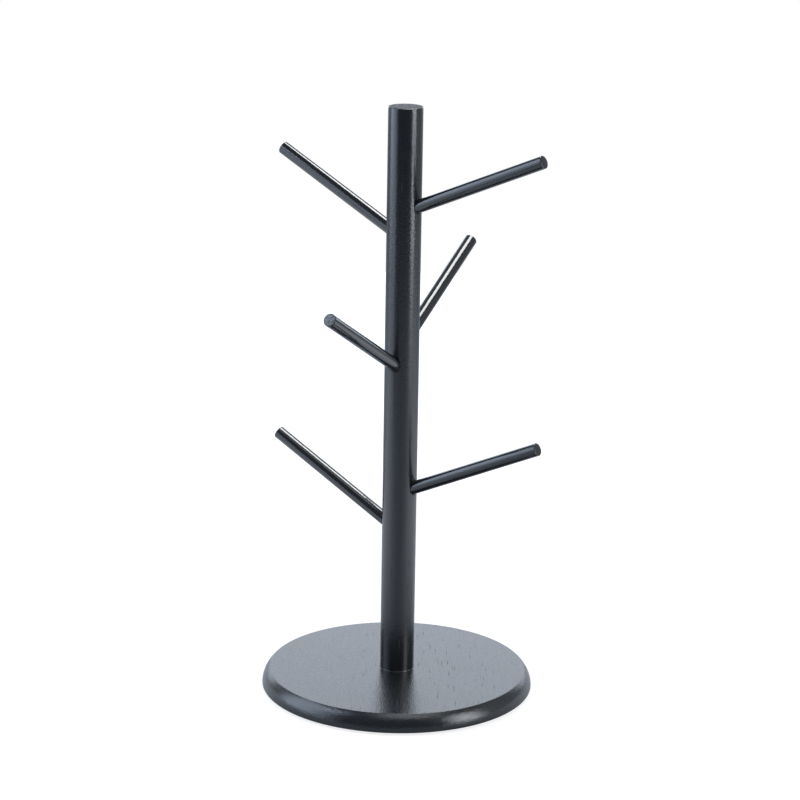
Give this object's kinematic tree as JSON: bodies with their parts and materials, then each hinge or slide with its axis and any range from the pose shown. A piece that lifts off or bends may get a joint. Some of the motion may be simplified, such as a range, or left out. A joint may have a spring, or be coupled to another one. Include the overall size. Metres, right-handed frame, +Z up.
{
  "type": "mug tree",
  "caption": "Countertop mug tree: a round wooden base, an upright dowel post and slanted dowel pegs that hold mugs by their handles.",
  "frame": {"origin": "under the middle of the base and the post's axis, on the surface that the pads stand on", "axes": "+Z up along the post; +X to the right and +Y away from the viewer as pictured"},
  "size_m": [0.16, 0.16, 0.348],
  "materials": {
    "black_lacquered_wood": "satin black lacquer on open-grained wood",
    "zinc_plated_steel": "bright zinc plate",
    "brass": "plain turned brass",
    "black_rubber": "matte"
  },
  "bodies": {
    "root": {"base": "black_lacquered_wood", "post": "black_lacquered_wood", "upper_right_peg": "black_lacquered_wood", "upper_left_peg": "black_lacquered_wood", "middle_right_peg": "black_lacquered_wood", "middle_left_peg": "black_lacquered_wood", "lower_right_peg": "black_lacquered_wood", "lower_left_peg": "black_lacquered_wood", "base_screw": "zinc_plated_steel", "threaded_insert": "brass", "foot_pad_1": "black_rubber", "foot_pad_2": "black_rubber", "foot_pad_3": "black_rubber", "foot_pad_4": "black_rubber"}
  },
  "joints": []
}
